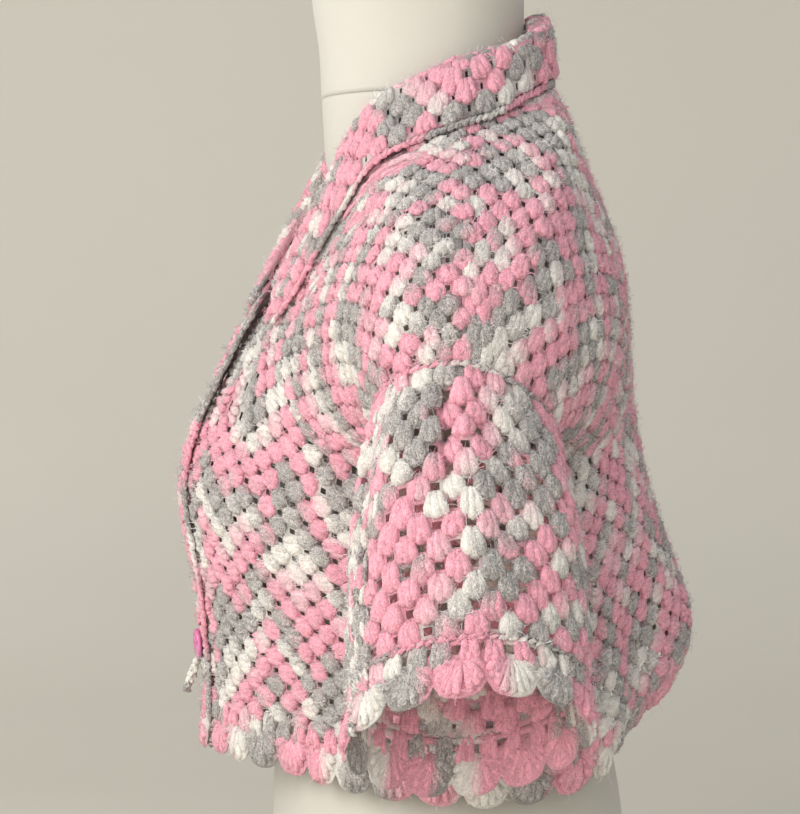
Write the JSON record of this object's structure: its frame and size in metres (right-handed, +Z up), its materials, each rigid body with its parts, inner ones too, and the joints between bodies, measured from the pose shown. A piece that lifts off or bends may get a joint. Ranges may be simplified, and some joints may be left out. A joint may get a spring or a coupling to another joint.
{
  "type": "crochet cropped cardigan on a limbless dress form",
  "caption": "Cropped crochet cardigan with short flared sleeves, folded shawl collar, scalloped hem and cuffs and one front button, worn by a plain limbless dress form.",
  "frame": {"origin": "centre of the dress form's flat underside", "axes": "+Z up, -Y the wearer's front, +X the wearer's left"},
  "size_m": [0.5936, 0.2969, 0.64],
  "materials": {
    "variegated_yarn": "matte, fuzzy",
    "edge_yarn": "matte, fuzzy",
    "shell_yarn": "matte, fuzzy",
    "form_jersey": "smooth matte",
    "button_plastic": "glossy"
  },
  "bodies": {
    "root": {"form_torso": "form_jersey", "form_neck": "form_jersey", "front_left": "variegated_yarn", "front_right": "variegated_yarn", "back": "variegated_yarn", "sleeve_left": "variegated_yarn", "sleeve_right": "variegated_yarn", "collar": "variegated_yarn", "hem_edging": "shell_yarn", "cuff_left": "shell_yarn", "cuff_right": "shell_yarn", "collar_edge": "edge_yarn", "front_edge": "edge_yarn", "button": "button_plastic", "button_tab": "shell_yarn"}
  },
  "joints": []
}
